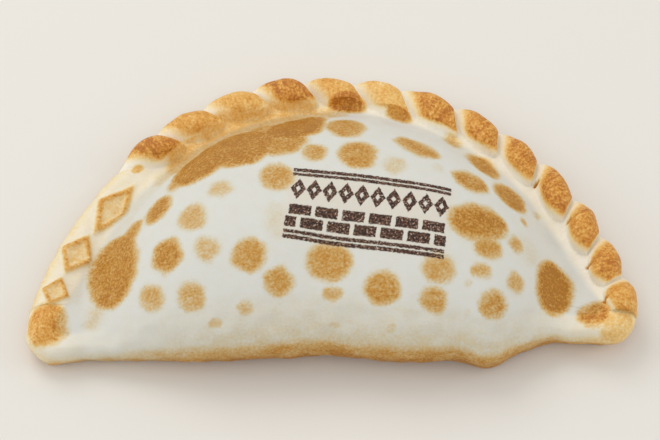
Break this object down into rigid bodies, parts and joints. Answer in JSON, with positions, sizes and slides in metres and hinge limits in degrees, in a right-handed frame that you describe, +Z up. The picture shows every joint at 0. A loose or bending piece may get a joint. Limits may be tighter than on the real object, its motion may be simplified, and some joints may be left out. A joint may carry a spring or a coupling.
{
  "type": "baked beef empanada",
  "caption": "Baked half-moon pasty with a domed filling, a rope-crimped rim that ends in a flat tab, and a straight fold.",
  "frame": {"origin": "centre of the bounding box in plan, on the plane the pasty rests on", "axes": "+X along the straight fold, from the flat tab at the start of the seam to the end of the rope; +Y from the fold towards the crimped rim; +Z up"},
  "size_m": [0.1304, 0.0732, 0.0221],
  "materials": {
    "baked_dough": "matte"
  },
  "bodies": {
    "root": {"empanada": "baked_dough"}
  },
  "joints": []
}
